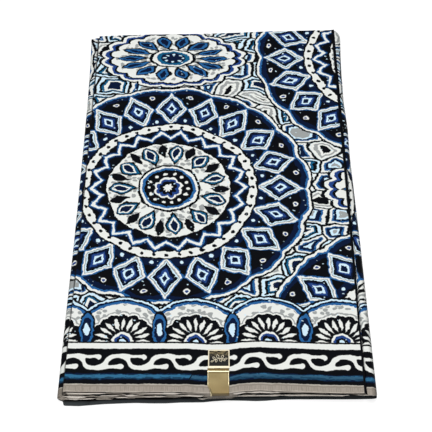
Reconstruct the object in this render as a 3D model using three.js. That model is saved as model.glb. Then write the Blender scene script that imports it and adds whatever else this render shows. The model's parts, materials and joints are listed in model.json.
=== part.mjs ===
// A length of wax-printed cotton, doubled across its width and rolled flat into a
// bundle, with a foil label folded over its front edge. Millimetres, +Z up, resting
// on z = 0. The selvedges lie along the front (-Y), the doubling fold along the back.
import * as THREE from "three";

// ---------------------------------------------------------------- driving sizes

const panelWall = 1.2; // one doubled panel: two plies and the air between them
const seam = 0.3; // clearance wherever two pieces meet
const stackHeight = 13.9; // sixteen doubled panels pressed flat
const coreLayers = 7; // leaves at the core's edges, each standing for about two panels
const underEnd = 150; // x where the under panel ends and the right-hand turn takes over
const innerEnd = -158; // x where the right-hand turn ends, hidden under the top panel
const topRipple = 0.4; // how far the top panel dips between its high places
const foldedLength = 575; // front edge to back fold, where the outline table is read
const creaseDrop = 4.5; // how far the cloth drops at the pressed crease on the left
const noseHeight = 4.8; // z of the left fold's outermost line

// The bundle from above, a row for each place along it. y runs from the front edge;
// left and right are the outermost x; leftRoll is how far in from there the top is
// creased, and rightRoll how far in it starts to roll down; flap is the free edge on top.
const outline = [
  { y: 0, left: -174.5, leftRoll: 6.8, right: 174.0, rightRoll: 5.0, flap: 161.0 },
  { y: 90, left: -173.2, leftRoll: 7.6, right: 173.0, rightRoll: 5.0, flap: 161.6 },
  { y: 215, left: -171.7, leftRoll: 8.2, right: 171.8, rightRoll: 5.2, flap: 162.6 },
  { y: 350, left: -171.5, leftRoll: 8.4, right: 169.5, rightRoll: 5.4, flap: 163.2 },
  { y: 400, left: -171.5, leftRoll: 8.6, right: 170.3, rightRoll: 5.6, flap: 163.4 },
  { y: 450, left: -171.6, leftRoll: 9.0, right: 168.3, rightRoll: 5.4, flap: 163.4 },
  { y: 530, left: -172.8, leftRoll: 10.6, right: 169.8, rightRoll: 6.6, flap: 163.4 },
  { y: 584, left: -175.2, leftRoll: 12.6, right: 172.6, rightRoll: 8.0, flap: 163.6 },
];

// Where each layer ends, a row for each place across the bundle: the top panel and
// the under panel at the front, then at the back.
const layerEnds = [
  { x: -176, topFront: -0.8, underFront: -4.4, topBack: 570.0, underBack: 574.0 },
  { x: -169, topFront: -0.9, underFront: -4.6, topBack: 570.3, underBack: 574.2 },
  { x: -163, topFront: -1.0, underFront: -10.6, topBack: 570.5, underBack: 574.4 },
  { x: -150, topFront: -1.2, underFront: -11.4, topBack: 571.0, underBack: 574.5 },
  { x: -108, topFront: -1.9, underFront: -9.6, topBack: 572.7, underBack: 574.7 },
  { x: -60, topFront: -2.7, underFront: -6.4, topBack: 574.6, underBack: 574.8 },
  { x: 0, topFront: -3.4, underFront: -4.4, topBack: 577.0, underBack: 575.0 },
  { x: 80, topFront: -3.8, underFront: -2.6, topBack: 580.3, underBack: 575.0 },
  { x: 176, topFront: -3.9, underFront: -0.8, topBack: 584.0, underBack: 574.8 },
];

const label = {
  left: -10.6, // x of the band's left edge
  width: 23.8,
  foil: 0.5, // thickness of the band and of the plate
  bandBack: 31, // y where the band meets the plate
  bandFoot: 6.7, // z down to which the band is folded over the front edge
  plateBack: 53.2, // y of the plate's far edge
  plateShift: 0.6, // the plate sits this much to the right of the band
};

// ---------------------------------------------------------------- shared geometry

const { lerp, clamp } = THREE.MathUtils;
const turnTop = stackHeight - topRipple - panelWall - seam; // top of the right-hand turn

// Reads one column of a table, in a straight line between the rows around a place.
function fromTable(rows, along, column, at) {
  const last = rows.length - 1;
  const place = clamp(at, rows[0][along], rows[last][along]);
  const after = rows.findIndex((row, i) => i > 0 && row[along] >= place);
  const [a, b] = [rows[after - 1], rows[after]];
  return lerp(a[column], b[column], (place - a[along]) / (b[along] - a[along]));
}

const outlineAt = (column, y) => fromTable(outline, "y", column, y);
const endAt = (column, x) => fromTable(layerEnds, "x", column, x);

// Front and back end of the layer at height z, at a place across the bundle.
function frontOf(x, z) {
  return lerp(endAt("underFront", x), endAt("topFront", x), z / stackHeight);
}

function backOf(x, z) {
  return lerp(endAt("underBack", x), endAt("topBack", x), z / stackHeight);
}

// Evenly spaced values from a to b, both included.
function spaced(a, b, count) {
  return Array.from({ length: count }, (_, i) => lerp(a, b, i / (count - 1)));
}

// Rows are closer together near both ends, where the edges wander.
const lengthwise = spaced(0, 1, 21).map((t) => lerp(t, t * t * (3 - 2 * t), 0.5));

function bodyFrom(points, triangles) {
  const geometry = new THREE.BufferGeometry();
  geometry.setAttribute("position", new THREE.Float32BufferAttribute(points.flat(), 3));
  geometry.setIndex(triangles.flat());
  const [a, b, c] = [new THREE.Vector3(), new THREE.Vector3(), new THREE.Vector3()];
  let volume = 0;
  for (const [i, j, k] of triangles) {
    a.fromArray(points[i]);
    b.fromArray(points[j]);
    c.fromArray(points[k]);
    volume += a.dot(b.cross(c));
  }
  if (volume < 0) {
    geometry.setIndex(triangles.map(([i, j, k]) => [i, k, j]).flat());
  }
  geometry.computeVertexNormals();
  return geometry;
}

// A closed wall between two grids of points, [row][station]. The first and last
// rows are the front and back edges; frontNose and backNose move the middle of
// those edges along y, which parts the two plies in front and rounds the fold behind.
function wallBody(outer, inner, frontNose = 0, backNose = 0) {
  const rows = outer.length;
  const stations = outer[0].length;
  const points = [...outer.flat(), ...inner.flat()];
  const triangles = [];
  const outerAt = (r, s) => r * stations + s;
  const innerAt = (r, s) => (rows + r) * stations + s;
  const quad = (a, b, c, d) => triangles.push([a, b, c], [a, c, d]);
  for (let r = 0; r < rows - 1; r++) {
    for (let s = 0; s < stations - 1; s++) {
      quad(outerAt(r, s), outerAt(r, s + 1), outerAt(r + 1, s + 1), outerAt(r + 1, s));
      quad(innerAt(r, s), innerAt(r + 1, s), innerAt(r + 1, s + 1), innerAt(r, s + 1));
    }
    quad(outerAt(r, 0), outerAt(r + 1, 0), innerAt(r + 1, 0), innerAt(r, 0));
    const end = stations - 1;
    quad(outerAt(r, end), innerAt(r, end), innerAt(r + 1, end), outerAt(r + 1, end));
  }
  for (const [r, nose] of [[0, frontNose], [rows - 1, backNose]]) {
    const first = points.length;
    for (let s = 0; s < stations; s++) {
      const [o, i] = [points[outerAt(r, s)], points[innerAt(r, s)]];
      points.push([(o[0] + i[0]) / 2, (o[1] + i[1]) / 2 + nose, (o[2] + i[2]) / 2]);
    }
    const edge = (near, far, middle, flip) => {
      for (let s = 0; s < stations - 1; s++) {
        const face = [near(r, s), middle + s, middle + s + 1, near(r, s + 1)];
        quad(...(flip ? face.reverse() : face));
      }
      for (const s of [0, stations - 1]) {
        const cap = [near(r, s), far(r, s), middle + s];
        triangles.push((s === 0) === flip ? cap.reverse() : cap);
      }
    };
    edge(outerAt, innerAt, first, r !== 0);
    for (let s = 0; s < stations - 1; s++) {
      const face = [innerAt(r, s + 1), first + s + 1, first + s, innerAt(r, s)];
      quad(...(r !== 0 ? face.reverse() : face));
    }
  }
  return bodyFrom(points, triangles);
}

function piece(name, geometry, colour, roughness, metalness = 0) {
  const material = new THREE.MeshStandardMaterial({ color: colour, roughness, metalness });
  const mesh = new THREE.Mesh(geometry, material);
  mesh.name = name;
  return mesh;
}

// ---------------------------------------------------------------- the outer stretch

// The last turn of the roll, as one wall: from the free edge across the top, down the
// pressed crease and round the fold on the left, and back along the underside. Its top
// follows topSurface.
function topSurface(x, y) {
  const swell = Math.sin(x / 41 + 0.6) * Math.cos(y / 57 - 0.4);
  const fade = THREE.MathUtils.smoothstep(y, 40, 110);
  return stackHeight - topRipple * fade * (0.5 + 0.5 * swell);
}

// The fold on the left as [x, z] pairs: down the crease to its foot, out over the
// turns beneath in a quarter round, and home in another to the underside.
function creasedFold(edge, roll, inset) {
  const crease = edge + roll + inset;
  const foot = stackHeight - creaseDrop - inset;
  const quarter = (from, centre, height) =>
    spaced(from, from + 90, 5).slice(1).map((degrees) => {
      const angle = THREE.MathUtils.degToRad(degrees);
      const reach = centre - edge - inset;
      return [centre + Math.cos(angle) * reach, noseHeight + Math.sin(angle) * height];
    });
  return [
    [crease, stackHeight - inset],
    [crease, foot],
    ...quarter(90, crease, foot - noseHeight),
    ...quarter(180, edge + roll, noseHeight - inset),
  ];
}

// The fold on the right as [x, z] pairs: one half turn, from its top down.
function roundFold(edge, roll, inset) {
  const middle = turnTop / 2;
  return spaced(90, -90, 9).map((degrees) => {
    const angle = THREE.MathUtils.degToRad(degrees);
    return [
      edge - roll + Math.cos(angle) * (roll - inset),
      middle + Math.sin(angle) * (middle - inset),
    ];
  });
}

// A fold's stations, from its outer face and its inner face.
function foldStations(foldLine, edge, roll) {
  const inner = foldLine(edge, roll, panelWall);
  return foldLine(edge, roll, 0).map((point, i) => ({ outer: point, inner: inner[i] }));
}

function flatStations(from, to, count, outerZ, innerZ) {
  return spaced(from, to, count).map((x) => ({ outer: [x, outerZ], inner: [x, innerZ] }));
}

// Lays a list of section stations out along the bundle, row by row.
function sweepSections(sectionAt, lift) {
  const outer = [];
  const inner = [];
  for (const t of lengthwise) {
    const nominal = t * foldedLength;
    const place = ([x, z]) => {
      const y = lerp(frontOf(x, z), backOf(x, z), t);
      return [x, y, z + lift(x, y, z)];
    };
    const stations = sectionAt(nominal);
    outer.push(stations.map((station) => place(station.outer)));
    inner.push(stations.map((station) => place(station.inner)));
  }
  return [outer, inner];
}

function outerStretch() {
  const section = (y) => {
    const left = outlineAt("left", y);
    const roll = outlineAt("leftRoll", y);
    const crease = left + roll;
    const across = flatStations(
      outlineAt("flap", y), crease + 2 * panelWall, 15, stackHeight, stackHeight - panelWall,
    );
    const fold = foldStations(creasedFold, left, roll);
    const under = flatStations(crease, underEnd, 12, 0, panelWall).slice(1);
    return [...across, ...fold, ...under];
  };
  const ripple = (x, y, z) => {
    const onTop = clamp((z - stackHeight / 2) / (stackHeight / 2 - panelWall), 0, 1);
    return onTop * (topSurface(x, y) - stackHeight);
  };
  const [outer, inner] = sweepSections(section, ripple);
  return piece("outer_stretch", wallBody(outer, inner, 0.7, 0.6), 0x39536f, 0.78);
}

// ---------------------------------------------------------------- the right-hand turn

// The turn before it, as the next wall: up round the right-hand fold from the end of
// the under panel, showing as a strip beside the free edge, then on below the top panel.
function rightTurn() {
  const section = (y) => {
    const right = outlineAt("right", y);
    const roll = outlineAt("rightRoll", y);
    const start = right - roll;
    const under = flatStations(underEnd + seam, start, 3, 0, panelWall);
    const fold = foldStations(roundFold, right, roll).slice(1, -1).reverse();
    const over = flatStations(start, innerEnd, 9, turnTop, turnTop - panelWall);
    return [...under, ...fold, ...over];
  };
  const [outer, inner] = sweepSections(section, () => 0);
  return piece("right_turn", wallBody(outer, inner, 0.7, 0.6), 0x2c4867, 0.78);
}

// ---------------------------------------------------------------- the folded core

// All the turns inside, as one rounded solid with leaves at its edges. Every leaf is
// a belly between two grooves, and each reaches a little differently.
function foldedCore() {
  const floor = panelWall + seam;
  const ceiling = turnTop - panelWall - seam;
  const leaf = (ceiling - floor) / coreLayers;
  const groove = 0.8; // how far the leaves' bellies stand out past the grooves
  const sideClear = 0.5; // room beside the leaves for the facets of the turns
  const footClear = 0.7; // how far under the foot of the crease the core steps in
  const corner = 5;

  // The core fills each turn: its side stays just inside that turn's inner face. On
  // the left it steps in above the foot of the crease.
  const roundReach = (half, height) => half * Math.sqrt(Math.max(0, 1 - height * height));
  const sideX = (side, y, z, inset) => {
    const roll = outlineAt(side < 0 ? "leftRoll" : "rightRoll", y);
    const centre = outlineAt(side < 0 ? "left" : "right", y) - side * roll;
    if (side > 0) {
      const height = (z - turnTop / 2) / (turnTop / 2 - panelWall);
      return centre + roundReach(roll - panelWall, height) - sideClear - inset;
    }
    if (z < noseHeight) {
      const height = (z - noseHeight) / (noseHeight - panelWall);
      return centre - roundReach(roll - panelWall, height) + sideClear + inset;
    }
    const foot = stackHeight - creaseDrop - panelWall - footClear;
    const reach = roundReach(roll, (z - noseHeight) / (foot - noseHeight));
    return centre + panelWall - reach + sideClear + inset;
  };

  // One closed outline at height z, inset all round, for the leaf with this number.
  const ringAt = (z, inset, number) => {
    const ring = [];
    const frontY = (x) => {
      const wander = Math.sin(x / 33 + number * 2.1) + 0.6 * Math.sin(x / 12 + number * 4);
      return frontOf(x, z) + 1.0 + inset + 0.5 * Math.abs(wander);
    };
    const backY = (x) => {
      const wander = Math.abs(Math.sin(x / 51 + number * 1.7));
      return endAt("underBack", x) - inset - 1.2 * wander;
    };
    const rounded = (x, y, from) => {
      for (const degrees of [from + 30, from + 60]) {
        const angle = THREE.MathUtils.degToRad(degrees);
        ring.push([x + corner * Math.cos(angle), y + corner * Math.sin(angle), z]);
      }
    };
    const sideRows = (side, rows) => {
      for (const t of rows) {
        const x = sideX(side, t * foldedLength, z, inset);
        ring.push([x, lerp(frontOf(x, z), backOf(x, z), t), z]);
      }
    };
    const rows = lengthwise.slice(1, -1);
    const [frontLeft, frontRight] = [-1, 1].map((s) => sideX(s, 0, z, inset) - s * corner);
    const [backLeft, backRight] = [-1, 1].map(
      (s) => sideX(s, foldedLength, z, inset) - s * corner,
    );
    for (const x of spaced(frontLeft, frontRight, 23)) ring.push([x, frontY(x), z]);
    rounded(frontRight, frontY(frontRight) + corner, -90);
    sideRows(1, rows);
    rounded(backRight, backY(backRight) - corner, 0);
    for (const x of spaced(backRight, backLeft, 13)) ring.push([x, backY(x), z]);
    rounded(backLeft, backY(backLeft) - corner, 90);
    sideRows(-1, rows.toReversed());
    rounded(frontLeft, frontY(frontLeft) + corner, 180);
    return ring;
  };

  const rings = [ringAt(floor, groove, 0)];
  for (let number = 0; number < coreLayers; number++) {
    const z = floor + number * leaf;
    rings.push(ringAt(z + 0.25 * leaf, 0, number));
    rings.push(ringAt(z + 0.75 * leaf, 0, number));
    rings.push(ringAt(z + leaf, groove, number));
  }

  const stations = rings[0].length;
  const points = rings.flat();
  const triangles = [];
  for (let r = 0; r < rings.length - 1; r++) {
    for (let s = 0; s < stations; s++) {
      const next = (s + 1) % stations;
      const [a, b] = [r * stations + s, r * stations + next];
      triangles.push([a, b, b + stations], [a, b + stations, a + stations]);
    }
  }
  const middleY = foldedLength / 2;
  for (const [r, z] of [[0, floor], [rings.length - 1, ceiling]]) {
    const hub = points.push([0, middleY, z]) - 1;
    for (let s = 0; s < stations; s++) {
      const [a, b] = [r * stations + s, r * stations + ((s + 1) % stations)];
      triangles.push(r === 0 ? [hub, b, a] : [hub, a, b]);
    }
  }
  return piece("folded_core", bodyFrom(points, triangles), 0x8f887e, 0.85);
}

// ---------------------------------------------------------------- the foil label

// A foil band folded over the front edge and a small framed plate behind it, both
// made from the top panel's points, moved out.
function labelBand() {
  const columns = spaced(label.left, label.left + label.width, 5);
  const outer = [];
  const inner = [];
  const lay = (y, z, normalY, normalZ) => {
    const moved = (x, out) => [x, y + normalY * out, z(x) + normalZ * out];
    outer.push(columns.map((x) => moved(x, seam + label.foil)));
    inner.push(columns.map((x) => moved(x, seam)));
  };
  const frontY = endAt("topFront", label.left + label.width);
  for (const y of spaced(label.bandBack, frontY, 8)) {
    lay(y, (x) => topSurface(x, y), 0, 1);
  }
  for (const degrees of [60, 30]) {
    const angle = THREE.MathUtils.degToRad(degrees);
    lay(frontY, () => stackHeight, -Math.cos(angle), Math.sin(angle));
  }
  for (const z of spaced(stackHeight, label.bandFoot, 4)) {
    lay(frontY, () => z, -1, 0);
  }
  return piece("label_band", wallBody(outer, inner), 0xa6925f, 0.35, 1);
}

function labelPlate() {
  const left = label.left + label.plateShift;
  const columns = spaced(left, left + label.width, 5);
  const outer = [];
  const inner = [];
  for (const y of spaced(label.plateBack, label.bandBack + seam, 6)) {
    const raised = (x, out) => [x, y, topSurface(x, y) + out];
    outer.push(columns.map((x) => raised(x, seam + label.foil)));
    inner.push(columns.map((x) => raised(x, seam)));
  }
  return piece("label_plate", wallBody(outer, inner), 0x2b2720, 0.4, 0.6);
}

// ---------------------------------------------------------------- the whole bundle

const bundle = new THREE.Group();
bundle.name = "folded_wax_print_length";
bundle.add(outerStretch(), rightTurn(), foldedCore(), labelBand(), labelPlate());

// The origin is the middle of the bundle's box, at the surface it rests on.
const box = new THREE.Box3().setFromObject(bundle);
const middle = box.getCenter(new THREE.Vector3());
bundle.position.set(-middle.x, -middle.y, -box.min.z);

export default bundle;
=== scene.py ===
import json
import math

import bpy
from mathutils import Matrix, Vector, noise

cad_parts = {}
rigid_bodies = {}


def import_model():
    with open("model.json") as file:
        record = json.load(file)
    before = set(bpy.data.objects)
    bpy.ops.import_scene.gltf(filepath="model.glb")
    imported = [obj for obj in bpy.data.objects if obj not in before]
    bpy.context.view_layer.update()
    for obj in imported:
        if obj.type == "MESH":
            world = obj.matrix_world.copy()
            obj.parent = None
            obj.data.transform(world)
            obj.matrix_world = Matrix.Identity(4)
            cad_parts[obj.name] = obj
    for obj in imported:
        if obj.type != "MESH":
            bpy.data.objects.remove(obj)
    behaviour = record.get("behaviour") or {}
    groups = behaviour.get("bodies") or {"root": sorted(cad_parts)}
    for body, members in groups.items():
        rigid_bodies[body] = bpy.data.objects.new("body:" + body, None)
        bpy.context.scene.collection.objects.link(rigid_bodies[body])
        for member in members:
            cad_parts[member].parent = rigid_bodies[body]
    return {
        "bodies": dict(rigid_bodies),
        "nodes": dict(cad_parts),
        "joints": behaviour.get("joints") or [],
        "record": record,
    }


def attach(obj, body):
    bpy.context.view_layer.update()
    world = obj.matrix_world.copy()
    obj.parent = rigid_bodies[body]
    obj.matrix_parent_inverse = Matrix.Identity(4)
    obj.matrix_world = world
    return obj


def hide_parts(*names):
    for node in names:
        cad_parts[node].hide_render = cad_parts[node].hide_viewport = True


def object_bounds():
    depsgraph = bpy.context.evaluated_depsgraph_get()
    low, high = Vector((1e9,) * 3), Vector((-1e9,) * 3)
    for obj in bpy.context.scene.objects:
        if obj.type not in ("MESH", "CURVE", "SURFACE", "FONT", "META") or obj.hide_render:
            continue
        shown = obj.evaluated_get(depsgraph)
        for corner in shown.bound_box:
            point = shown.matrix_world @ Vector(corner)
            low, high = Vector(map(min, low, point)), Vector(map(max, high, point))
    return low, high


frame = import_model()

cad_box = [list(corner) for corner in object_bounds()]

# ---------------------------------------------------------------- the room and camera
# A pale table top under soft studio light. The camera stands in front of the selvedge
# end and looks down on the bundle by about fifty degrees.

# The bundle is measured in millimetres from its front edge, as its maker would, with
# y = 0 at the front edge, x = 0 near the label and z = 0 on the table.
FRONT_LEAF_REACH = 11.4  # how far the lowest leaf reaches out in front
RIGHT_REACH = 174.0  # x of the right-hand fold
SHIFT_X = cad_box[1][0] * 1000 - RIGHT_REACH
SHIFT_Y = cad_box[0][1] * 1000 + FRONT_LEAF_REACH


def to_frame(x, y, z):
    """A place in the bundle's millimetres as a place in the frame's metres."""
    return ((x + SHIFT_X) / 1000, (y + SHIFT_Y) / 1000, z / 1000)


def add_object(name, data):
    made = bpy.data.objects.new(name, data)
    bpy.context.scene.collection.objects.link(made)
    return made


def new_material(name):
    """A new material, its nodes and its shader."""
    material = bpy.data.materials.new(name)
    material.use_nodes = True
    return material, material.node_tree, material.node_tree.nodes["Principled BSDF"]


def fill_sockets(tree, node, sockets):
    """Gives each socket its value, or links it to the socket or field it follows."""
    for name, value in sockets.items():
        value = getattr(value, "socket", value)
        if isinstance(value, bpy.types.NodeSocket):
            tree.links.new(value, node.inputs[name])
        else:
            node.inputs[name].default_value = value


def build_camera():
    looks_down = 50.36  # degrees
    data = bpy.data.cameras.new("camera")
    data.sensor_width = 36.0
    data.lens = 99.2
    data.clip_end = 20.0
    camera = add_object("camera", data)
    camera.location = to_frame(-1.2, -676.2, 1127.8)
    camera.rotation_euler = (math.radians(90 - looks_down), 0.0, 0.0)
    bpy.context.scene.camera = camera


def build_softbox(name, place, aim, size, power):
    data = bpy.data.lights.new(name, "AREA")
    data.shape = "RECTANGLE"
    data.size, data.size_y = size
    data.energy = power
    lamp = add_object(name, data)
    lamp.location = place
    direction = Vector(aim) - Vector(place)
    lamp.rotation_euler = direction.to_track_quat("-Z", "Y").to_euler()


def build_room():
    table = bpy.data.meshes.new("table_top")
    reach = 4.0
    corners = [(-reach, -reach, 0), (reach, -reach, 0), (reach, reach, 0), (-reach, reach, 0)]
    table.from_pydata(corners, [], [(0, 1, 2, 3)])
    paint, tree, shader = new_material("white_table_paint")
    fill_sockets(tree, shader, {
        "Base Color": (0.3, 0.3, 0.3, 1),
        "Roughness": 0.9,
        "Specular IOR Level": 0.1,
        "Emission Color": (1.0, 1.0, 1.0, 1),
        "Emission Strength": 0.78,
    })
    table.materials.append(paint)
    floor = add_object("table_top", table)
    floor.location.z = -0.0002  # clear of the cloth's underside
    floor.visible_diffuse = False  # the glow lights the table, not the cloth

    world = bpy.data.worlds.new("studio")
    world.use_nodes = True
    sky = world.node_tree.nodes["Background"]
    fill_sockets(world.node_tree, sky, {"Color": (1.0, 1.0, 1.0, 1), "Strength": 0.14})
    bpy.context.scene.world = world
    bpy.context.scene.view_settings.view_transform = "Standard"

    build_softbox("key_softbox", (0.0, 0.4, 2.2), (0, 0, 0), (1.3, 1.3), 45)
    build_softbox("front_softbox", (0.0, -1.7, 1.5), (0, 0, 0), (1.6, 1.2), 20)


build_camera()
build_room()

# ---------------------------------------------------------------- the printed cotton
# A plain-weave cotton, wax-printed on both faces in black, blues, teal and grey on
# off-white. The print is drawn in the cloth's own measure, u along the length and v in
# from the selvedge, so that it runs on round every fold.

CLOTH_WIDTH = 1160.0  # mm, selvedge to selvedge
BORDER = 65.0  # mm from the selvedge to the foot of the row of fans
FULL_TURN = 2 * math.pi


def operator_pair(operation):
    """An operator's method on fields, and its reflected form."""
    def plain(field, other):
        return field.math(operation, field, other)

    def reflected(field, other):
        return field.math(operation, other, field)

    return plain, reflected


class Field:
    """A number that varies over a surface. An expression on fields adds Math nodes."""

    def __init__(self, tree, socket):
        self.tree = tree
        self.socket = socket

    def math(self, operation, *values, clamped=False):
        settings = {"operation": operation, "use_clamp": clamped}
        node = add_node(self.tree, "ShaderNodeMath", settings, dict(enumerate(values)))
        return Field(self.tree, node.outputs[0])

    __add__, __radd__ = operator_pair("ADD")
    __sub__, __rsub__ = operator_pair("SUBTRACT")
    __mul__, __rmul__ = operator_pair("MULTIPLY")
    __truediv__, __rtruediv__ = operator_pair("DIVIDE")
    __pow__, __rpow__ = operator_pair("POWER")
    __mod__, __rmod__ = operator_pair("FLOORED_MODULO")
    __and__, __rand__ = operator_pair("MINIMUM")
    __or__, __ror__ = operator_pair("MAXIMUM")
    __gt__, __lt__ = operator_pair("GREATER_THAN")

    def __abs__(self):
        return self.math("ABSOLUTE", self)

    def sine(self):
        return self.math("SINE", self)

    def root(self):
        return self.math("SQRT", self)

    def turns_of(self, other):
        """The way to a place from its height and its distance across, in turns."""
        return self.math("ARCTAN2", self, other) / FULL_TURN

    def joined(self, other, fillet):
        """The greater of two depths, with the corner between them filled."""
        return self.math("SMOOTH_MAX", self, other, fillet)

    def ink(self, bleed=0.5):
        """1 inside, 0 outside, changing over a bleed of this many millimetres."""
        return self.math("MULTIPLY_ADD", self, 1 / bleed, 0.5, clamped=True)

    def clipped(self):
        """Held between 0 and 1."""
        return self.math("ADD", self, 0.0, clamped=True)


def add_node(tree, kind, settings=None, sockets=None):
    """Adds a node: its settings first, then a value or a link for each socket."""
    node = tree.nodes.new(kind)
    for name, value in (settings or {}).items():
        setattr(node, name, value)
    fill_sockets(tree, node, sockets or {})
    return node


def mixed(tree, share, under, over):
    """One colour over another, wherever the share is 1."""
    sockets = {0: share, 6: under, 7: over}
    return add_node(tree, "ShaderNodeMix", {"data_type": "RGBA"}, sockets).outputs[2]


def parts_of(tree, vector):
    """The three parts of a vector or colour socket, as fields."""
    split = add_node(tree, "ShaderNodeSeparateXYZ", None, {0: vector})
    return [Field(tree, output) for output in split.outputs]


def dye(red, green, blue):
    """A colour as a dyer's card gives it, 0 to 255, as the light it sends back."""
    def linear(value):
        value /= 255
        return value / 12.92 if value < 0.04045 else ((value + 0.055) / 1.055) ** 2.4
    return (linear(red), linear(green), linear(blue), 1.0)


DYES = {
    # the blocks and the wax-resist whites
    "black": dye(7, 9, 14),
    "navy": dye(8, 22, 50),
    "royal": dye(33, 62, 122),
    "blue": dye(38, 92, 146),
    "teal": dye(18, 86, 124),
    "ice": dye(196, 220, 234),
    "white": dye(219, 221, 217),
    "grey": dye(148, 152, 151),
    # the stripe near the edge, in its three tones
    "stripe": dye(47, 101, 136),
    "dusk": dye(46, 84, 110),
    "deep": dye(24, 58, 82),
    # the bare selvedge and its pale thread, which is partly a painted highlight on the plies' front
    # edges, and the other selvedge's dark slate edge, partly painted shade
    "pale taupe": dye(172, 166, 156),
    "taupe": dye(152, 144, 134),
    "dark taupe": dye(137, 129, 119),
    "pale thread and highlight": dye(186, 177, 166),
    "slate": dye(52, 56, 58),
    # painted light and shade on the plies in front: a painted highlight on the lips, painted shade
    # in the gaps
    "painted lip highlight": dye(244, 236, 226),
    "shadow": dye(22, 20, 20),
}


class Print:
    """The print as a dyer lays it: each screen over the last."""

    def __init__(self, tree, ground, slip):
        self.tree = tree
        self.colour = ground
        self.slip = slip  # how far the blues stray from the black outline, in mm

    def lay(self, over, depth, bleed=0.5):
        """Prints a dye, or a colour socket, wherever depth is over 0."""
        colour = DYES[over] if isinstance(over, str) else over
        self.colour = mixed(self.tree, depth.ink(bleed), self.colour, colour)

    def nest(self, depth, *bands):
        """Prints outlines one inside another: each band is a dye and its first depth."""
        deepest = bands[-1][1] + 1.0
        share = (depth + self.slip) / deepest
        ramp = add_node(self.tree, "ShaderNodeValToRGB", None, {0: share})
        ramp.color_ramp.interpolation = "CONSTANT"
        stops = ramp.color_ramp.elements
        while len(stops) < len(bands):
            stops.new(1.0)
        for stop, (name, start) in zip(stops, bands):
            stop.position = start / deepest
            stop.color = DYES[name]
        self.lay(ramp.outputs[0], depth)


def distance(across, along):
    """How far a place is from a middle, from how far it is off each way."""
    return (across * across + along * along).root()


def sideways(radius, turns, count, phase=0.0):
    """How far a place is to the side of the nearest of count spokes, in millimetres."""
    return ((turns * count + (0.5 + phase)) % 1.0 - 0.5) * radius * (FULL_TURN / count)


def petals(radius, turns, count, inner, outer, width, phase=0.0, tip=1.0):
    """Depth inside a ring of pointed petals; tip over 1 moves their fullest part out."""
    along = ((radius - inner) / (outer - inner)).clipped() ** tip
    side = abs(sideways(radius, turns, count, phase))
    return (along * math.pi).sine() * (width + 0.6) - side - 0.6


def lozenges(radius, turns, count, inner, outer, width, phase=0.0):
    """Depth inside a ring of lozenges that point in and out."""
    middle = (inner + outer) / 2
    along = abs(radius - middle) / ((outer - inner) / 2)
    side = abs(sideways(radius, turns, count, phase))
    return (1 - along) * width - side


def spots(radius, turns, count, at, size, phase=0.0):
    """Depth inside a ring of round spots."""
    across = sideways(at, turns, count, phase)
    out = radius - at
    return size - distance(across, out)


def zigzag(radius, turns, count, at, swing, half):
    """Depth inside a zigzag line that runs round a ring."""
    tooth = abs((turns * count) % 1.0 - 0.5) * 4 - 1
    return half - abs(radius - at - tooth * swing)


def scallops(turns, count, swing):
    """How far a rim bulges out: this many scallops round it, and their height."""
    return abs((turns * (FULL_TURN * (count / 2))).sine()) * swing


def band(place, at, half):
    """Depth inside a straight band."""
    return half - abs(place - at)


def cloth_measure(tree):
    """The cloth's own u and v in millimetres, and how far the printer's hand strays."""
    place = add_node(tree, "ShaderNodeUVMap", {"uv_map": "cloth"}).outputs[0]
    u, v, _ = parts_of(tree, place)
    stray = []
    for scale, reach in ((24.0, 13.0), (90.0, 4.0), (330.0, 1.8)):  # broad, hand and quick
        settings = {"noise_dimensions": "2D"}
        sockets = {"Vector": place, "Scale": scale, "Detail": 1.0}
        cloud = add_node(tree, "ShaderNodeTexNoise", settings, sockets).outputs["Color"]
        stray.append([(part - 0.5) * reach for part in parts_of(tree, cloud)])
    return u * 1000, v * 1000, stray


def cells(tree, u, v, wide, high, feature="F1"):
    """Irregular cells of about this size: how far a place is from the nearest middle, in
    cell widths, and two chances that differ from cell to cell; or how far from an edge."""
    place = add_node(tree, "ShaderNodeCombineXYZ", None, {0: u / wide, 1: v / high})
    settings = {"voronoi_dimensions": "2D", "feature": feature}
    sockets = {"Vector": place.outputs[0], "Scale": 1.0, "Randomness": 0.85}
    made = add_node(tree, "ShaderNodeTexVoronoi", settings, sockets)
    if feature == "DISTANCE_TO_EDGE":
        return Field(tree, made.outputs["Distance"])
    chance, other_chance, _ = parts_of(tree, made.outputs["Color"])
    return Field(tree, made.outputs["Distance"]), chance, other_chance


def mark_of(tree, name):
    """A value that a sheet's points were marked with."""
    mark = add_node(tree, "ShaderNodeAttribute", {"attribute_name": name})
    return Field(tree, mark.outputs["Fac"])


def drawn_out_noise(tree, u, v, per_u, per_v):
    """Streaks with this many to a metre along the cloth and across it."""
    place = add_node(
        tree, "ShaderNodeCombineXYZ", None, {0: u * per_u / 1000, 1: v * per_v / 1000}
    )
    sockets = {"Vector": place.outputs[0], "Scale": 1.0, "Detail": 2.0}
    streaks = add_node(tree, "ShaderNodeTexNoise", {"noise_dimensions": "2D"}, sockets)
    return Field(tree, streaks.outputs[0])


def from_nearest(u, v, first_u, first_v, column, drop):
    """How far a place is from the nearest motif of a half-drop repeat."""
    def from_rows(shift_u, shift_v):
        across = (u - (first_u + shift_u - column)) % (2 * column) - column
        down = (v - (first_v + shift_v - drop / 2)) % drop - drop / 2
        return across, down

    even_u, even_v = from_rows(0.0, 0.0)
    odd_u, odd_v = from_rows(column, drop / 2)
    is_even = odd_u * odd_u + odd_v * odd_v > even_u * even_u + even_v * even_v
    return odd_u + (even_u - odd_u) * is_even, odd_v + (even_v - odd_v) * is_even


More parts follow.
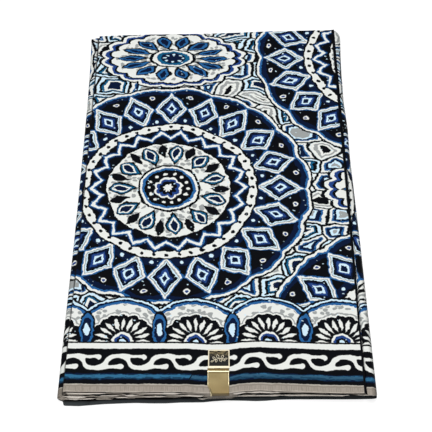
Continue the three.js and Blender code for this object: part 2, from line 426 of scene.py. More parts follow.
def print_ground(dyed, tree, u, v):
    """The ground of the print: river stones, each outlined inside in its own dyes."""
    edge = cells(tree, u, v, 40.0, 27.0, "DISTANCE_TO_EDGE") * 30
    _, chance, _ = cells(tree, u, v, 40.0, 27.0)
    dyed.nest(
        edge - 1.3, ("white", 0), ("blue", 2.6), ("navy", 4.2), ("ice", 7.0), ("grey", 9.4)
    )
    dyed.nest(
        edge - 1.5 - (0.45 - chance).ink(0.01) * 90,
        ("ice", 0), ("black", 2.2), ("teal", 4.2), ("white", 6.0), ("navy", 8.8),
    )
    dyed.nest(
        edge - 1.7 - (0.78 - chance).ink(0.01) * 90,
        ("white", 0), ("grey", 2.4), ("white", 5.0), ("black", 7.4),
    )


def print_roundel(dyed, u, v, specks):
    """A large roundel, ring by ring from its scalloped rim to its middle."""
    r = distance(u, v)
    turns = v.turns_of(u)

    # the rim, and the ring of lozenges with spots between them
    rim = 176 + scallops(turns, 20, 5) - r
    dyed.nest(rim, ("black", 0), ("white", 2.6), ("blue", 5.8), ("navy", 8.4), ("black", 14.6))
    dyed.lay("navy", (rim - 16.5) & (122 - r))
    for name, at, size in (("white", 160, 3.4), ("royal", 160, 1.9), ("ice", 117, 2.4)):
        dyed.lay(name, spots(r, turns, 20, at, size, phase=0.5))
    dyed.nest(
        lozenges(r, turns, 20, 107, 170, 22.5),
        ("blue", 0), ("white", 1.7), ("grey", 4.2), ("ice", 5.8), ("black", 7.4),
        ("navy", 9.8), ("royal", 12.6), ("ice", 15.6), ("navy", 18.6),
    )

    # the white collar, and the zigzag inside it
    dyed.nest(112 - r, ("black", 0), ("white", 2.6), ("black", 12.6))
    dyed.lay("black", spots(r, turns, 44, 104.5, 2.5))
    dyed.nest(zigzag(r, turns, 22, 90, 6.0, 7.0), ("navy", 0), ("blue", 2.9), ("white", 4.8))

    # the flower: its speckled ground, two rows of petals and its middle
    dyed.nest(79 - r, ("black", 0), ("white", 2.8))
    dyed.lay("grey", specks & (74 - r))
    dyed.nest(
        petals(r, turns, 11, 36, 75, 11.0, tip=1.5),
        ("black", 0), ("teal", 2.4), ("white", 4.6), ("navy", 6.8),
    )
    dyed.lay("black", petals(r, turns, 11, 48, 77, 5.4, phase=0.5, tip=1.3))
    dyed.nest(39 - r, ("black", 0), ("white", 3.0), ("blue", 6.0), ("black", 9.0))
    dyed.lay("white", spots(r, turns, 14, 23.5, 2.2))
    heart = 15 + scallops(turns, 8, 3) - r
    dyed.nest(heart, ("white", 0), ("royal", 2.8), ("black", 6.4), ("white", 12.0))


def print_rosette(dyed, u, v, specks):
    """The flat rosette that fills the hollow between four roundels."""
    squeezed = u / 1.75  # it is that much wider than it is tall
    r = distance(squeezed, v)
    turns = v.turns_of(squeezed)
    rim = 55 + scallops(turns, 18, 4) - r
    dyed.nest(rim, ("black", 0), ("white", 2.4), ("royal", 5.4), ("black", 8.0), ("white", 10.4))
    dyed.lay("grey", specks & (44 - r))
    ring = petals(r, turns, 14, 15, 45, 6.4, tip=1.3)
    dyed.nest(ring, ("black", 0), ("blue", 1.9), ("navy", 3.9))
    dyed.nest(18 - r, ("black", 0), ("white", 2.2), ("teal", 4.8), ("navy", 8.2))
    dyed.lay("ice", spots(r, turns, 8, 7.2, 1.3))


def print_row(dyed, u, up, specks):
    """The row of fans that stands on the border, under a scalloped edge."""
    pitch = 82.0
    across = abs((u + 20) % pitch - pitch / 2)
    r = distance(across, up)
    turns = up.turns_of(across)
    arch = (62 - r) | (30 - up)
    dyed.nest(arch, ("black", 0), ("ice", 2.4), ("navy", 4.8), ("blue", 7.4), ("white", 10.4))
    dyed.lay("grey", specks & (arch - 11))
    fan = 39 + scallops(turns, 18, 2.4) - r
    dyed.nest(fan, ("grey", 0), ("white", 2.0), ("black", 4.2))
    dyed.lay("white", petals(r, turns, 20, 11, 33, 2.3, tip=1.5))
    dyed.nest(12 - r, ("white", 0), ("royal", 2.4), ("black", 5.2), ("ice", 8.6))
    slim = 0.36  # the bud between two fans, its width as a share of its height
    beside = (pitch / 2 - across) / slim
    above = up - 16
    bud = (26 - distance(beside, above)) * slim
    dyed.nest(bud, ("black", 0), ("blue", 1.5), ("navy", 3.6), ("ice", 6.2))


def print_border(dyed, u, v, dabs, ribs):
    """Selvedge, stripes and the running scroll, counted in from the cloth's edge. dabs
    and ribs are the unevenness of the stripe's dye and of the selvedge's yarns."""
    rule, stripe = 59.2, 19.5
    dyed.lay("black", BORDER - v)
    dyed.lay("white", band(v, rule, 3.6))

    # the stripe is dabbed on in two tones, and the screen was set down twice: the two
    # lengths of stripe miss each other at a slanting join beside the label
    join = 200.2 - u - v * 0.54
    dabbed = band(v + join.ink(1.0) * 0.8, stripe, 4.0) + dabs * 1.4
    dyed.nest(dabbed, ("navy", 0), ("deep", 1.0), ("stripe", 1.8))
    dyed.lay("dusk", join & (dabbed - 1.8))
    dyed.lay("deep", (stripe - 1.5 - v + dabs * 5.0) & (dabbed - 1.2))
    dyed.lay("black", band(join, 0.0, 0.55) & band(v, stripe, 6.0))

    # the undyed selvedge, ribbed by its doubled yarns, and the pale thread at its edge, partly its
    # own colour and partly a painted highlight on the plies' front edges
    bare = 9.9 - v
    dyed.nest(bare, ("pale taupe", 0), ("dark taupe", 1.2), ("taupe", 3.2))
    dyed.lay("dark taupe", ((ribs - 0.56) * 6) & (bare - 2.0))
    dyed.lay("pale thread and highlight", 0.8 - v)

    # the scroll: a stem that rises and falls, with a bud running on from each bend
    period = 50.0
    low, high = 30.6, 45.9
    phase = (-4.2 - u) % period
    angle = phase * (FULL_TURN / period)
    wave = (angle + (angle + math.pi / 2).sine() * 0.18 + math.pi / 2).sine() * 1.5
    wave = wave / (wave * wave + 1).root() * 1.2
    stem = (high + low) / 2 - wave * ((high - low) / 2)
    steep = 2.2 - abs(wave) * 1.2
    stroke = 2.5 - abs(v - stem) / steep

    def bud(start, length, height, droop):
        """Depth inside a bud, which is fullest at its tip."""
        spare = (period - length) / 2
        along = (phase - start + spare) % period - spare
        past = ((abs(along - length / 2)) - length / 2) | 0.0
        over = v - height - (along / length) * droop
        tip = (along / length).clipped() ** 4
        return 1.8 + tip * 1.7 - distance(past, over)

    def hollow(at, height, long, tall):
        """Depth inside the rounded hollow between a bud and the stem below it."""
        along = ((phase - at + period / 2) % period - period / 2) / long
        over = (v - height) / tall
        return (1 - distance(along, over)) * tall

    fillet = 7.0
    scroll = stroke.joined(bud(31.0, 22.2, high - 0.2, -1.2), fillet)
    scroll = scroll.joined(bud(5.0, 23.3, low + 0.2, 1.6), fillet)
    scroll = scroll & (0.0 - hollow(47.4, high - 6.0, 6.2, 3.7))
    scroll = scroll & (0.0 - hollow(21.6, low + 7.0, 6.2, 3.2))
    dyed.lay("white", scroll)


def print_cloth(dyed, tree, u, v, strays):
    """The whole print, screen by screen: the ground, the motifs in half-drop repeat, the row of
    fans and the border along each selvedge. Over it go a painted shadow along the cut end, painted
    shade in the left crease, on the folds' front ends and between the plies, and a painted
    highlight on the lips. strays is how far the printer's broad, hand and quick movements stray."""
    broad, hand, quick = strays
    drawn_u, drawn_v = u + hand[0] + quick[0], v + hand[1] + quick[1]
    loose_u, loose_v = drawn_u + broad[0], drawn_v + broad[1]
    from_edge = v & (CLOTH_WIDTH - v)

    print_ground(dyed, tree, loose_u, loose_v)
    near, chance, size_chance = cells(tree, loose_u, loose_v, 7.5, 6.0)
    specks = (0.4 - near - (chance > 0.6) * 0.5) * 6
    column, drop = 290.0, 470.0  # from motif to motif, along the cloth and across it
    first_u, first_v = 221.0, 292.0
    for print_motif, down in ((print_roundel, 0.0), (print_rosette, drop / 2)):
        middle_u, middle_v = from_nearest(
            drawn_u + broad[0] * 0.4, drawn_v + broad[1] * 0.4,
            first_u, first_v + down, column, drop,
        )
        print_motif(dyed, middle_u, middle_v, specks)
    print_row(dyed, drawn_u, from_edge + hand[1] + quick[1] - BORDER, specks)
    bubbles = size_chance * 0.16 - near - (0.8 - chance).ink(0.01)  # left by the wax
    dyed.lay("ice", bubbles * 7)

    dabs = drawn_out_noise(tree, u, v, 120.0, 520.0) * 2.0 - 1.0
    ribs = drawn_out_noise(tree, u, v, 900.0, 60.0)
    along = u + hand[0] * 0.5
    print_border(dyed, along, from_edge + hand[1] * 0.3 + quick[1] * 0.5, dabs, ribs)
    # the other selvedge's edge in dark slate: partly its own colour, partly painted shade for the
    # dark under and inside the stack
    is_other_selvedge = v > CLOTH_WIDTH / 2
    dyed.lay("slate", (is_other_selvedge * 2 - 1) & (14.0 - from_edge))
    dyed.lay("black", 1.6 - u)  # painted shadow: black along the cut end stands in for the shade beside the free edge

    # painted shade in the left crease, on the folds' front ends and in the gaps between the plies,
    # and a painted highlight on the lips under the gaps
    shade = mark_of(tree, "between_plies")
    dyed.lay("shadow", shade - 0.3)
    dyed.lay("painted lip highlight", (-0.35 - shade) & (1.0 - from_edge) / 4, bleed=0.3)


def make_cotton(name):
    """The cotton as a material, for every piece of this cloth."""
    cotton, tree, shader = new_material(name)
    u, v, strays = cloth_measure(tree)
    ground = add_node(tree, "ShaderNodeRGB")
    ground.outputs[0].default_value = DYES["black"]
    _, hand, _ = strays
    dyed = Print(tree, ground.outputs[0], hand[2] * 0.45)
    print_cloth(dyed, tree, u, v, strays)

    # the yarns: slubs that run both ways, and the weave itself
    slubs = drawn_out_noise(tree, u, v, 900.0, 60.0) + drawn_out_noise(tree, u, v, 60.0, 900.0)
    yarn = 0.62  # mm from one yarn to the next but one
    weave = (u * (FULL_TURN / yarn)).sine() * (v * (FULL_TURN / yarn)).sine()
    sockets = {"Strength": 0.35, "Distance": 0.00012, "Height": slubs + weave * 0.12}
    bump = add_node(tree, "ShaderNodeBump", None, sockets)
    fill_sockets(tree, shader, {
        "Base Color": dyed.colour,
        "Roughness": 0.56 + slubs * 0.1,
        "Specular IOR Level": 0.03,
        "Normal": bump.outputs[0],
    })
    return cotton


# ---------------------------------------------------------------- the top panel
# The last turn of the roll: two plies of cotton from the free edge on the right, flat
# across the top and over the pressed crease on the left. The doubling fold is at the
# back, and both selvedges lie at the front.

PANELS = 16
STACK_HEIGHT = 13.9
PITCH = STACK_HEIGHT / PANELS
PLY_APART = 0.21  # each ply's distance from the middle of its panel
PLY_THICK = 0.26
FOLDED_LENGTH = 575.0
FRONT_SHARE = 0.03  # the share of that length that counts as its front
SIDE_STRIPS = 0.985  # how far across the baking map its two side strips start
CREASE_DROP = 4.5  # how far the cloth drops at the pressed crease on the left
CREASE_FOOT = 0.2  # the share of the left fold at which that drop ends
NOSE_HEIGHT = 4.8  # height of the left fold's outermost line
RIGHT_NOSE = 0.24  # and of the right fold's, as a share of its height


def with_columns(names, *rows):
    """A table: each row's numbers under the names of their columns."""
    return [dict(zip(names.split(), row)) for row in rows]


# From above, a row for each place along the bundle: the outermost x, how far in from
# it the cloth is creased or starts to roll down, and the free edge on top.
OUTLINE = with_columns(
    "y left left_roll right right_roll flap",
    (0, -173.6, 6.8, 174.0, 5.0, 161.0),
    (90, -173.2, 7.6, 173.0, 5.0, 161.6),
    (215, -171.7, 8.2, 171.8, 5.2, 162.6),
    (350, -171.5, 8.4, 169.5, 5.4, 163.2),
    (400, -171.5, 8.6, 170.3, 5.6, 163.4),
    (450, -171.6, 9.0, 168.3, 5.4, 163.4),
    (530, -172.8, 10.6, 169.8, 6.6, 163.4),
    (584, -175.2, 12.6, 172.6, 8.0, 163.6),
)

# Across the bundle: where the top of the stack and its foot end, in front and behind.
# The front edge bows in on both sides of the label, where nothing holds it.
ENDS = with_columns(
    "x top_front under_front top_back under_back",
    (-176, 0.2, -4.4, 570.0, 574.0),
    (-143, -0.2, -4.6, 571.4, 574.4),
    (-108, -0.4, -3.0, 572.7, 574.7),
    (-61, -0.5, -2.2, 574.6, 574.8),
    (-32, -0.7, -2.2, 575.6, 574.9),
    (-11, -2.4, -2.2, 576.5, 575.0),
    (13, -2.2, -1.4, 577.6, 575.0),
    (28, 0.4, -0.2, 578.2, 575.0),
    (47, 1.3, 0.6, 579.0, 575.0),
    (74, 0.1, 1.0, 580.0, 575.0),
    (101, -0.8, 1.4, 581.2, 574.9),
    (130, -2.1, 1.4, 582.3, 574.9),
    (176, -2.5, 1.2, 584.0, 574.8),
)

# The lowest leaf slips out in front: the y of its edge. It reaches furthest on the left.
LEAF_EDGE = with_columns(
    "x y",
    (-168.2, -4.4), (-167.4, -9.2), (-165.0, -10.2), (-150.0, -10.6), (-138.0, -9.6),
    (-121.0, -8.0), (-105.0, -7.3), (-88.0, -6.7), (-67.0, -7.2), (-56.0, -7.1),
    (-40.0, -6.0), (-14.0, -5.6), (-5.0, -4.5), (10.0, -3.3), (42.0, -4.4),
    (53.0, -3.9), (66.0, -2.5), (90.0, -1.7), (155.0, -2.1), (176.0, -1.4),
)

# Soft creases, a row for each: its middle, its way round from the x axis in degrees,
# its half length and half width, and how deep it is. The last ones are underneath.
CREASES = with_columns(
    "x y way long wide deep over",
    (37, -2, 82, 11, 1.6, 0.5, True),
    (63, -3, 97, 15, 2.0, 0.45, True),
    (-88, 2, 74, 17, 3.4, 0.5, True),
    (-131, 44, 8, 42, 4.0, 0.22, True),
    (96, 128, -7, 66, 6.0, 0.25, True),
    (-58, 236, 5, 88, 7.0, 0.22, True),
    (28, 402, -3, 120, 5.5, 0.25, True),
    (-118, 508, 38, 34, 6.0, 0.3, True),
    (-40, 90, 4, 95, 6.0, 0.3, False),
    (72, 291, -6, 70, 5.0, 0.25, False),
    (-20, 471, 11, 110, 7.5, 0.3, False),
)

# Where the plies part along the front, a row for each gap: from which x to which, the
# heights it starts and ends at, half its height and how deep it is.
PARTINGS = with_columns(
    "from to start end half deep",
    (-171, -112, 12.4, 12.6, 0.85, 7.5),
    (-171, -136, 7.4, 7.9, 0.8, 8.0),
    (-142, -100, 8.2, 9.3, 0.9, 8.0),
    (-171, -127, 4.9, 4.8, 0.8, 8.0),
    (-114, -94, 6.1, 5.9, 0.9, 7.0),
    (-159, -127, 2.6, 2.5, 0.5, 6.0),
    (-119, -97, 2.8, 2.2, 0.8, 6.0),
    (-171, -94, 1.0, 1.3, 0.5, 6.0),
    (-105, -84, 9.7, 8.4, 0.8, 5.0),
    (-88, -31, 12.5, 12.6, 0.95, 7.5),
    (-87, -49, 6.6, 7.3, 0.9, 8.0),
    (-47, -9, 8.6, 9.3, 0.9, 8.0),
    (-99, -40, 1.6, 1.5, 1.4, 8.5),
    (-47, -8, 2.0, 3.9, 1.9, 8.5),
    (15, 33, 12.2, 12.4, 0.7, 6.0),
    (26, 74, 12.3, 12.3, 1.1, 6.5),
    (15, 78, 6.6, 5.9, 1.3, 8.0),
    (66, 190, 7.2, 9.0, 2.4, 8.0),
    (16, 190, 1.2, 1.6, 1.6, 8.0),
    (132, 196, 3.5, 4.6, 1.1, 4.5),
)

GAP_RAMP = 16.0  # how far from its end a long gap takes to open
GAP_DEEPEST = 9.0
LIP_REACH = 1.2  # how far the plies under a gap come forward
INNER_BACK = 0.9  # how far the outermost turn's inner ply hangs back on top
TURNS_BACK = 0.4  # and how far the turns inside do
STRIP_FROM = 160.0  # x from which the turn below shows as a strip
STRIP_SLIP = 1.8  # and how far that strip has slipped forward
CREASE_DARK = 0.75  # how dark the painted shade at the foot of the left crease is
LEFT_FOLD_SHADE = 0.27  # and the painted shade on the front ends of the two folds
RIGHT_FOLD_SHADE = 0.17
LABEL_MIDDLE = 1.3  # x of the middle of the foil band, which holds the plies together
LABEL_HOLD = 13.0  # how far to either side of it they are held
FLAP_LIFT = 0.45  # how far the free edge stands up on top
STRIP_DIP = 4.4  # how far the turn below dips in the step beside the free edge
# The height at which each outermost fold starts to rise from the table, and how much
# further up it counts as the top.
FOLD_RISE = {"left fold": (0.7, 4.5), "right fold": (2.0, 8.0)}


def from_table(rows, along, column, at):
    """Reads a column of a table: in a straight line between rows, level past the ends."""
    at = max(at, rows[0][along])
    for before, after in zip(rows, rows[1:]):
        if at <= after[along]:
            share = (at - before[along]) / (after[along] - before[along])
            return before[column] + (after[column] - before[column]) * share
    return rows[-1][column]


def ends_at(x, z, side):
    """The y at which the stack ends in front or behind, at a place across and up."""
    share = z / STACK_HEIGHT
    top = from_table(ENDS, "x", "top_" + side, x)
    under = from_table(ENDS, "x", "under_" + side, x)
    return under + (top - under) * share


def unevenness(across, along, layer):
    """Smooth noise, from about -1 to 1. Each use of it has a layer of its own."""
    return noise.noise(Vector((across, along, layer)))


def stray_at(x, z, reach):
    """How far a ply's edge strays. Plies that lie close together stray together."""
    slow = unevenness(x / 75, z / 1.7, 0.0)
    quick = unevenness(x / 21, z / 0.8, 9.0)
    return reach * (1.3 * slow + 0.5 * quick)


def clipped(share):
    return min(max(share, 0.0), 1.0)


def smooth_step(place, start=0.0, end=1.0):
    """0 up to the start, 1 from the end, and no corner at either."""
    share = clipped((place - start) / (end - start))
    return share * share * (3 - 2 * share)


def bell(offset, power=2):
    """1 in the middle and hardly anything past 1 or so either way. The higher the power,
    the flatter its top."""
    return math.exp(-(offset ** power))


def parting_at(x, z):
    """How deep the plies part at a height on the front, how far the lip under a gap comes forward,
    and how dark the painted shade in there is, 0 to 1."""
    deep = lip = dark = 0.0
    for gap in PARTINGS:
        length = gap["to"] - gap["from"]
        from_end = min(x - gap["from"], gap["to"] - x)
        if from_end > 0:
            height = gap["start"] + (gap["end"] - gap["start"]) * ((x - gap["from"]) / length)
            height += 0.35 * unevenness(x / 26, gap["start"], 5.0)
            opened = smooth_step(from_end / min(GAP_RAMP, length * 0.35))
            half = gap["half"] * (0.5 + 0.5 * opened)
            below = (height - z) / half
            deep += opened * gap["deep"] * bell(below, 4)
            lip += opened * LIP_REACH * bell((below - 1.7) / 0.7)
            # the painted shade hangs a little lower than the gap, and reaches past it both ways
            below = (height - 0.25 - z) / (half + 0.45)
            dark = max(dark, smooth_step(from_end / 5) * bell(below, 8))
    return min(deep, GAP_DEEPEST), lip, dark


def rise_of(z, kind):
    """How far up the outermost fold a place is: 0 on the underside, 1 on top."""
    if kind in FOLD_RISE:
        start, height = FOLD_RISE[kind]
        return clipped((z - start) / height)
    return 1.0 if kind == "top" else 0.0


def edge_at(x, z, kind, turn):
    """Where a ply's front edge belongs. The strip beside the free edge slips forward."""
    is_strip = (kind, turn) in (("top", 1), ("right fold", 0))
    slip = STRIP_SLIP * clipped(x - STRIP_FROM) * rise_of(z, kind) if is_strip else 0.0
    return ends_at(x, z, "front") - slip


def front_of(x, z, kind, turn, is_inner):
    """The front edge of a ply, from its place across and up and where it is rolled. An
    inner ply hangs back a little, apart from the lowest, which is the leaf in front."""
    edge = edge_at(x, z, kind, turn)
    loose = 1 - bell((x - LABEL_MIDDLE) / LABEL_HOLD, 4)
    if turn == 0 and kind == "top":
        return edge + INNER_BACK * is_inner + stray_at(x, z, 0.25) * loose
    if turn > 0:
        hangs_back = 1.2 if x < -84 else 1.0 if kind == "top" else 0.2
        deep, lip, _ = parting_at(x, z)
        if "fold" in kind:
            deep *= 0.3  # a fold holds its plies together
        strayed = stray_at(x, z, 0.6) + hangs_back * is_inner + deep - lip
        return edge + TURNS_BACK + strayed * loose
    if is_inner:
        leaf = from_table(LEAF_EDGE, "x", "y", x) + stray_at(x, z, 0.3)
    else:
        leaf = edge + 0.7 + 2.4 * clipped((x - 90) / 40) + stray_at(x, z, 0.4)
    on_top = edge + INNER_BACK * is_inner + (TURNS_BACK if kind == "right fold" else 0.0)
    return leaf + (on_top - leaf) * rise_of(z, kind)


def shadow_at(x, y, z, kind, turn, share):
    """The painted shade on a ply: how dark it is down in the crease on the left, at the front ends
    of the folds, and where its neighbours part in front and no light gets in between. Under 0 where
    a lip catches the light, for a painted highlight."""
    # painted shade on the folds' front ends, fading further back
    front_shade = math.exp(-max(y, 0.0) / 14)
    if kind == "left fold" and turn == 0:
        crease = CREASE_DARK * bell((share - CREASE_FOOT) / 0.07)
        return max(crease, LEFT_FOLD_SHADE * front_shade * smooth_step(share / 0.1))
    if kind == "right fold" and turn == 0:
        return RIGHT_FOLD_SHADE * front_shade
    if kind == "top" and turn == 0:
        return 0.0
    behind = (y - edge_at(x, z, kind, turn) - 0.5) / 0.9
    _, lip, dark = parting_at(x, z)
    if behind > 0:
        return dark * min(behind, 1.0)
    return -lip if turn else 0.0


def creased_fold(share, row, top, low, turn):
    """The fold on the left as x and z: down the crease to its foot, out over the folds
    inside and home to the underside. share runs from 0 at the top to 1."""
    sink = turn * PITCH
    start = row["left"] + row["left_roll"]
    crease = start + sink
    nose = row["left"] + sink * 0.8
    foot = STACK_HEIGHT - CREASE_DROP - PITCH / 2 - NOSE_HEIGHT
    foot = NOSE_HEIGHT + foot * (1 - 2 * turn / PANELS)
    if share < CREASE_FOOT:
        return crease, top + (foot - top) * share / CREASE_FOOT
    angle = (share - CREASE_FOOT) / (1 - CREASE_FOOT) * math.pi
    if angle < math.pi / 2:
        reach, height = crease - nose, foot - NOSE_HEIGHT
        return crease - math.sin(angle) * reach, NOSE_HEIGHT + math.cos(angle) * height
    reach, height = start - nose, NOSE_HEIGHT - low
    return start - math.sin(angle) * reach, NOSE_HEIGHT + math.cos(angle) * height


def round_fold(share, row, top, low, turn):
    """The fold on the right as x and z, up from the underside: it bulges low down and
    leans in above. The curve is drawn round five corners."""
    roll = max(row["right_roll"] + 0.4 - turn * PITCH * 0.8, (top - low) * 0.18)
    centre = row["right"] - row["right_roll"]
    nose = low + (top - low) * RIGHT_NOSE
    corners = [
        (centre - roll * 0.5, low), (centre + roll * 0.6, low), (centre + roll * 1.1, nose),
        (centre + roll * 0.34, top), (centre - roll * 0.5, top),
    ]
    first = min(int(share * 3), 2)  # the first of the three corners it runs between
    on = share * 3 - first
    parts = ((1 - on) ** 2 / 2, 0.5 + on - on * on, on * on / 2)
    return tuple(
        sum(part * corner[i] for part, corner in zip(parts, corners[first:])) for i in (0, 1)
    )


def section_at(y, stretch):
    """The x and z of a stretch's stations, in the middle of its panel, at a place
    along the bundle. Beside the free edge the turns under it dip."""
    row = {key: from_table(OUTLINE, "y", key, y) for key in OUTLINE[0] if key != "y"}
    line = []
    for kind, turn, share in stretch:
        high = STACK_HEIGHT - PITCH / 2 - turn * PITCH
        low = PITCH / 2 + turn * PITCH
        left = row["left"] + row["left_roll"]
        right = row["right"] - row["right_roll"]
        if kind == "top":
            start = row["flap"] if turn == 0 else right
            x = start + (left + turn * PITCH - start) * share
            if turn == 0:
                high += FLAP_LIFT * math.exp(-(row["flap"] - x) / 4)
            else:
                beside = x - row["flap"] - 0.6
                high -= STRIP_DIP * (1 - 2 * turn / PANELS) * bell(beside, 4)
            line.append((x, high))
        elif kind == "under":
            line.append((left + (right - left) * share, low))
        elif kind == "left fold":
            line.append(creased_fold(share, row, high, low, turn))
        else:
            line.append(round_fold(share, row, high - PITCH, low, turn))
    return line


def turned(x, y, degrees):
    """How far an offset goes along a direction, and how far across it."""
    way = math.radians(degrees)
    cosine, sine = math.cos(way), math.sin(way)
    return x * cosine + y * sine, y * cosine - x * sine


def settled(x, y, z):
    """A height with the stack's soft unevenness: it lies flat below, swells a little
    above, and is creased here and there."""
    height = z / STACK_HEIGHT
    swell = unevenness(x / 95, y / 120, 3.1) + 0.5 * unevenness(x / 31, y / 55, 7.7)
    z *= 1 + 0.035 * swell
    for crease in CREASES:
        along, across = turned(x - crease["x"], y - crease["y"], crease["way"])
        along, across = along / crease["long"], across / crease["wide"]
        share = height if crease["over"] else height - 1
        z -= share * crease["deep"] * math.exp(-across * across - along ** 4)
    return z


def length_along(y, stretch):
    """Length of cloth from the free edge to the end of a stretch."""
    line = section_at(y, stretch)
    flap = from_table(OUTLINE, "y", "flap", y)
    return OUTLINE[0]["flap"] - flap + sum(map(math.dist, line, line[1:]))


def shares(start, end, count):
    """Evenly spaced shares, both ends among them."""
    return [start + (end - start) * i / (count - 1) for i in range(count)]


def ply_line(y, stretch, lift, before):
    """A ply's stations: x, z and length of cloth, lifted off the middle of its panel."""
    line = section_at(y, stretch)
    travelled = length_along(y, before + stretch[:1])
    stations = []
    for index, (x, z) in enumerate(line):
        last, following = line[max(index - 1, 0)], line[min(index + 1, len(line) - 1)]
        if index:
            travelled += math.dist(last, line[index])
        step = Vector((following[0] - last[0], following[1] - last[1])).normalized()
        stations.append((x + step.y * lift, z - step.x * lift, travelled))
    return stations


def build_ply_sheet(name, before, stretch, rows, abreast=0):
    """A stretch of the doubled cloth: back over the outer ply, round the doubling fold
    and home over the inner ply. before is the cloth rolled since the free edge, and
    rows are the shares of the length that get points."""
    steps = [("outer", share) for share in rows]
    steps += [("fold", share) for share in (0.25, 0.5, 0.75)]
    steps += [("inner", share) for share in reversed(rows)]
    points = []
    cloth = []
    shadow = []
    for ply, share in steps:
        along, lift, bulge = share, 1.0 if ply == "outer" else -1.0, 0.0
        if ply == "fold":
            along, lift = 1.0, math.cos(math.pi * share)
            bulge = math.sin(math.pi * share) * PLY_APART * 1.6
        stations = ply_line(along * FOLDED_LENGTH, stretch, lift * PLY_APART, before)
        row = []
        for (kind, turn, part), (x, z, travelled) in zip(stretch, stations):
            front = front_of(x, z, kind, turn, ply == "inner")
            back = ends_at(x, z, "back") + stray_at(x, z + 40, 0.9)  # not the front's strays
            y = front + (back - front) * along + bulge
            row.append(Vector(to_frame(x, y, settled(x, y, z))))
            # painted shade and painted highlight, near the front and on the left fold
            seen = ply != "fold" and (share < FRONT_SHARE or kind == "left fold")
            shadow.append(shadow_at(x, y, z, kind, turn, part) if seen else 0.0)
            if ply == "outer":
                v = y - edge_at(x, z, kind, turn)
            elif ply == "fold":
                v = back + 3.4 + share * 0.7  # the little way round it
            else:
                v = CLOTH_WIDTH - (y - front)
            cloth.append((travelled / 1000, v / 1000))
        points.append(row)
    sheet = thick_sheet(name, points, cloth, PLY_THICK / 1000)
    mark_points(sheet, between_plies=shadow)
    travelled = [along for along, _ in cloth[: len(stretch)]]
    spread_flat(sheet.data, steps, stretch, travelled, abreast)
    return sheet


def summed(sizes):
    """Places one after another, as shares of them all, from their sizes."""
    places = [0.0]
    for size in sizes:
        places.append(places[-1] + size)
    return [place / places[-1] for place in places]


def spread_flat(mesh, steps, stretch, travelled, abreast):
    """Lays a sheet's faces out flat beside each other, as a map to bake them on: the
    upper faces of every row, then the lower ones, then the edges. What shows gets the
    room: an outer ply's face, or, where so many panels are set abreast, their ends."""
    last_row, last_column = len(steps) - 1, len(stretch) - 1

    def room(row, is_upper):
        """Millimetres of the map for a row of faces."""
        (ply, share), (_, following) = steps[row], steps[row + 1]
        if ply == "fold":
            return 5.0 if is_upper else 0.5
        at_front = min(share, following) < FRONT_SHARE
        at_back = max(share, following) > 1 - FRONT_SHARE
        shows = ply == "outer" and is_upper and not abreast
        scale = 2.0 if at_front or (abreast and at_back) else 1.0 if shows else 0.02
        return abs(following - share) * FOLDED_LENGTH * scale + 0.3

    clear = 3.0  # between the faces and the edges
    sizes = [room(row, True) for row in range(last_row)] + [clear]
    sizes += [room(row, False) for row in range(last_row)] + [clear, clear, 2.0, clear, 2.0]
    down = summed(sizes)
    first_edge, last_edge = down[-5:-3], down[-3:-1]

    panels = [0]
    here = stretch[0][:2]
    for kind, turn, _ in stretch[1:-1]:
        is_next = bool(abreast) and "fold" not in kind and (kind, turn) != here
        here = (kind, turn) if is_next else here
        panels.append(panels[-1] + is_next)
    count = panels[-1] + 1
    starts = [travelled[panels.index(panel)] for panel in range(count)] + [travelled[-1]]
    wide = max(abreast, 1)
    tall = math.ceil(count / wide)

    def place(column, at, share):
        panel = panels[column]
        across = (travelled[at] - starts[panel]) / (starts[panel + 1] - starts[panel])
        return (panel % wide + across * 0.98) / wide * SIDE_STRIPS, (panel // wide + share) / tall

    def face(c, share, order):
        """The corners of a column's face between two shares, in the mesh's order."""
        corners = [(c, share[0]), (c + 1, share[0]), (c + 1, share[1]), (c, share[1])]
        return [place(c, *corners[i]) for i in order]

    def side_face(left, right, here, there):
        return [(left, here), (left, there), (right, there), (right, here)]

    laid = []
    for row in range(last_row):
        upper, lower = down[row:row + 2], down[row + last_row + 1:row + last_row + 3]
        for c in range(last_column):
            laid += face(c, upper, (0, 3, 2, 1)) + face(c, lower, (0, 1, 2, 3))
    for c in range(last_column):
        laid += face(c, first_edge, (0, 1, 2, 3))
    for row in range(last_row):
        laid += side_face(SIDE_STRIPS, 0.99, row / last_row, (row + 1) / last_row)
    for c in range(last_column - 1, -1, -1):
        laid += face(c, last_edge, (1, 0, 3, 2))
    for row in range(last_row, 0, -1):
        laid += side_face(0.993, 0.998, row / last_row, (row - 1) / last_row)
    flat = mesh.uv_layers.new(name="OFBake")
    flat.data.foreach_set("uv", [number for corner in laid for number in corner])


def mark_points(sheet, **marks):
    """Gives each point of a sheet a value for its material, the same on both faces."""
    for name, values in marks.items():
        kept = sheet.data.attributes.new(name, "FLOAT", "POINT")
        kept.data.foreach_set("value", values * 2)


